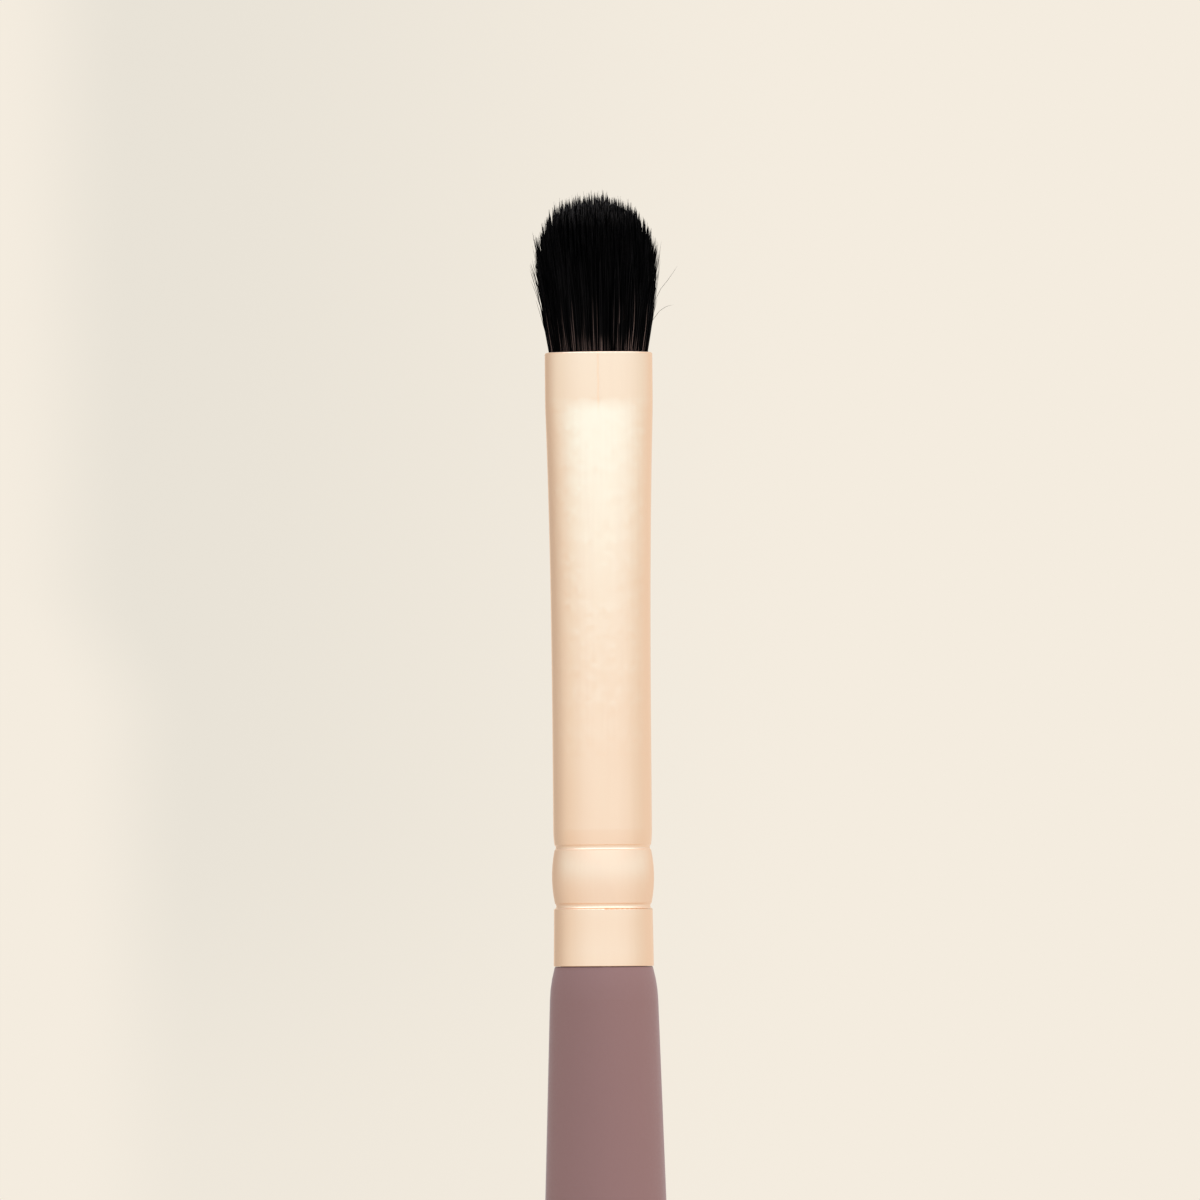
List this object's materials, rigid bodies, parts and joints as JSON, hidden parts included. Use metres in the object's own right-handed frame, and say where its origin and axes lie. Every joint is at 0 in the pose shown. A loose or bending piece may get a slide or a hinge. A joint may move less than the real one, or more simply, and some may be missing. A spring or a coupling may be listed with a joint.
{
  "type": "eyeshadow brush",
  "caption": "Eyeshadow brush with a soft domed tuft, bound and glued into a crimped metal ferrule with an oval mouth, on a slim turned handle with a matte lacquer.",
  "frame": {"origin": "middle of the handle's tail end, the lowest point of the brush held upright", "axes": "+Z along the brush from tail to tuft, X the wide way of the oval mouth and tuft, Y the thin way"},
  "size_m": [0.0088, 0.0088, 0.1714],
  "materials": {
    "handle_lacquer": "turned wood under a matte mauve lacquer",
    "ferrule_metal": "satin champagne gold",
    "hair": "fine black hair, brown where light passes through it",
    "thread": "plain twisted thread",
    "glue": "set clear amber epoxy"
  },
  "bodies": {
    "brush": {"handle": "handle_lacquer", "ferrule": "ferrule_metal", "tenon_glue": "glue", "glue_plug": "glue", "binding_thread": "thread", "hair_root": "hair"},
    "tuft": {"hair_tuft": "hair"}
  },
  "joints": [
    {"name": "tuft_flex", "type": "hinge", "parent": "brush", "child": "tuft", "pos_m": [0, 0, 0.16192], "axis": [1, 0, 0], "range_deg": [-25, 25], "stiffness_Nm_per_rad": 0.004}
  ]
}
